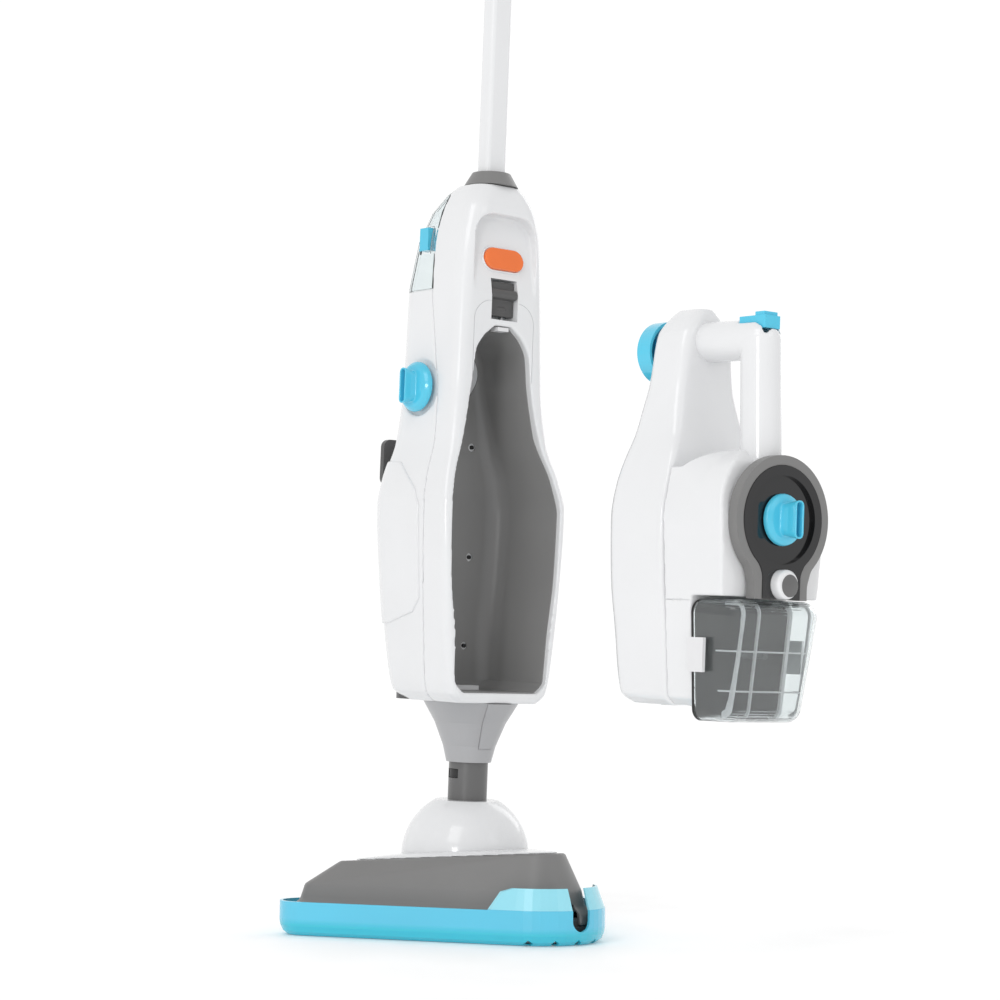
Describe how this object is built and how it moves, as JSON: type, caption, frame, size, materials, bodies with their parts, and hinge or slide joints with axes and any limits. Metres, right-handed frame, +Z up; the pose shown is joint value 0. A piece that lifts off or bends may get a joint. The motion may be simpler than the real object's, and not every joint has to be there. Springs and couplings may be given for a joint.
{
  "type": "steam mop",
  "caption": "Upright steam mop with a triangular head, carpet glider, swivel neck, hollow docking bay and a lift-out handheld steam unit with a clear water tank.",
  "frame": {"origin": "on the floor under the swivel centre, on the face of the pad", "axes": "+Z up, the nose of the head and the open bay point to -Y, the detergent dial is on the -X side"},
  "size_m": [0.306, 0.4791, 1.1762],
  "materials": {
    "white_gloss": "gloss",
    "white_satin": "satin",
    "light_grey": "satin",
    "mid_grey": "satin",
    "dark_grey": "satin",
    "turquoise": "gloss",
    "black_gloss": "gloss",
    "clear": "gloss",
    "orange": "gloss",
    "steel": "brushed",
    "alloy": "satin",
    "silicone": "matte",
    "microfibre": "woven",
    "board_green": "satin"
  },
  "bodies": {
    "head": {"base_plate": "dark_grey", "microfibre_pad": "microfibre", "head_housing": "mid_grey", "head_cover": "white_gloss", "head_screws": "steel", "swivel_pedestal": "dark_grey"},
    "glider": {"carpet_glider": "turquoise"},
    "yoke": {"swivel_yoke": "dark_grey"},
    "upright": {"pitch_pin": "steel", "swivel_dome": "white_gloss", "neck_tube": "dark_grey", "neck_cone": "light_grey", "neck_panel": "light_grey", "front_shell": "white_gloss", "rear_shell": "white_gloss", "left_side_panel": "white_gloss", "right_side_panel": "white_gloss", "bay_liner": "mid_grey", "bay_screws": "steel", "steam_socket": "dark_grey", "steam_hose": "silicone", "docking_tab": "white_satin", "docking_peg": "white_satin", "latch_spring": "steel", "name_badge": "orange", "detergent_bottle": "white_satin", "bottle_cap": "dark_grey", "rear_foot": "dark_grey", "pole_collar": "mid_grey", "pole": "white_gloss", "left_grip": "white_gloss", "right_grip": "white_gloss", "upper_cord_hook": "dark_grey"},
    "neck_button": {"tube_button": "dark_grey"},
    "latch": {"dock_latch": "dark_grey"},
    "detergent_knob": {"detergent_dial": "turquoise", "dial_spindle": "steel"},
    "cover": {"cartridge_cover": "clear"},
    "catch": {"cover_catch": "turquoise"},
    "cord_hook": {"lower_cord_hook": "dark_grey"},
    "handheld": {"handheld_rear_shell": "white_gloss", "handheld_front_shell": "white_gloss", "handheld_grip": "white_gloss", "panel_surround": "mid_grey", "control_panel": "black_gloss", "steam_nozzle": "dark_grey", "boiler": "alloy", "pump": "dark_grey", "circuit_board": "board_green", "cord_gland": "dark_grey"},
    "trigger": {"thumb_trigger": "turquoise"},
    "steam_knob": {"steam_dial": "turquoise"},
    "power_key": {"power_button": "white_gloss"},
    "tank": {"water_tank": "clear", "tank_back": "dark_grey", "pickup_tube": "clear"},
    "left_catch": {"left_tank_catch": "white_satin"},
    "right_catch": {"right_tank_catch": "white_satin"},
    "collar": {"nozzle_collar": "turquoise"}
  },
  "joints": [
    {"name": "glider_release", "type": "slide", "parent": "head", "child": "glider", "axis": [0, 0, -1], "range_m": [0, 0.04]},
    {"name": "head_roll", "type": "hinge", "parent": "head", "child": "yoke", "pos_m": [0, 0, 0.065], "axis": [0, 1, 0], "range_deg": [-30, 30]},
    {"name": "neck_pitch", "type": "hinge", "parent": "yoke", "child": "upright", "pos_m": [0, 0, 0.065], "axis": [-1, 0, 0], "range_deg": [0, 65]},
    {"name": "neck_button_press", "type": "slide", "parent": "upright", "child": "neck_button", "axis": [1, 0, 0], "range_m": [0, 0.0015], "stiffness_N_per_m": 400, "springref_m": -0.002},
    {"name": "latch_release", "type": "slide", "parent": "upright", "child": "latch", "axis": [0, 0.0412, -0.9992], "range_m": [0, 0.0035], "stiffness_N_per_m": 400, "springref_m": -0.004},
    {"name": "detergent_turn", "type": "hinge", "parent": "upright", "child": "detergent_knob", "pos_m": [-0.0472, 0.0093, 0.47073], "axis": [-1, 0, 0], "range_deg": [-90, 90]},
    {"name": "cover_open", "type": "hinge", "parent": "upright", "child": "cover", "pos_m": [0, 0.04727, 0.55957], "axis": [-1, 0, 0], "range_deg": [0, 70]},
    {"name": "catch_press", "type": "slide", "parent": "cover", "child": "catch", "axis": [0, 0.0412, -0.9992], "range_m": [0, 0.002], "stiffness_N_per_m": 300, "springref_m": -0.003},
    {"name": "cord_hook_swivel", "type": "hinge", "parent": "upright", "child": "cord_hook", "pos_m": [0, 0.05851, 0.39369], "axis": [0, 0.9992, 0.0412], "range_deg": [0, 180]},
    {"name": "handheld_pull", "type": "slide", "parent": "upright", "child": "handheld", "axis": [0, -0.9992, -0.0412], "range_m": [-0.27, 0]},
    {"name": "trigger_press", "type": "slide", "parent": "handheld", "child": "trigger", "axis": [0, 0.0412, -0.9992], "range_m": [0, 0.002], "stiffness_N_per_m": 600, "springref_m": -0.002},
    {"name": "steam_turn", "type": "hinge", "parent": "handheld", "child": "steam_knob", "pos_m": [0, -0.37955, 0.3376], "axis": [0, -0.9992, -0.0412], "range_deg": [-75, 75]},
    {"name": "power_press", "type": "slide", "parent": "handheld", "child": "power_key", "axis": [0, 0.9992, 0.0412], "range_m": [0, 0.0025], "stiffness_N_per_m": 500, "springref_m": -0.002},
    {"name": "tank_pull", "type": "slide", "parent": "handheld", "child": "tank", "axis": [0, -0.9992, -0.0412], "range_m": [0, 0.06]},
    {"name": "left_catch_press", "type": "slide", "parent": "tank", "child": "left_catch", "axis": [1, 0, 0], "range_m": [0, 0.0015], "stiffness_N_per_m": 500, "springref_m": -0.002},
    {"name": "right_catch_press", "type": "slide", "parent": "tank", "child": "right_catch", "axis": [-1, 0, 0], "range_m": [0, 0.0015], "stiffness_N_per_m": 500, "springref_m": -0.002},
    {"name": "collar_turn", "type": "hinge", "parent": "handheld", "child": "collar", "pos_m": [0, -0.25722, 0.47776], "axis": [0, 0.9992, 0.0412], "range_deg": [0, 40]}
  ]
}
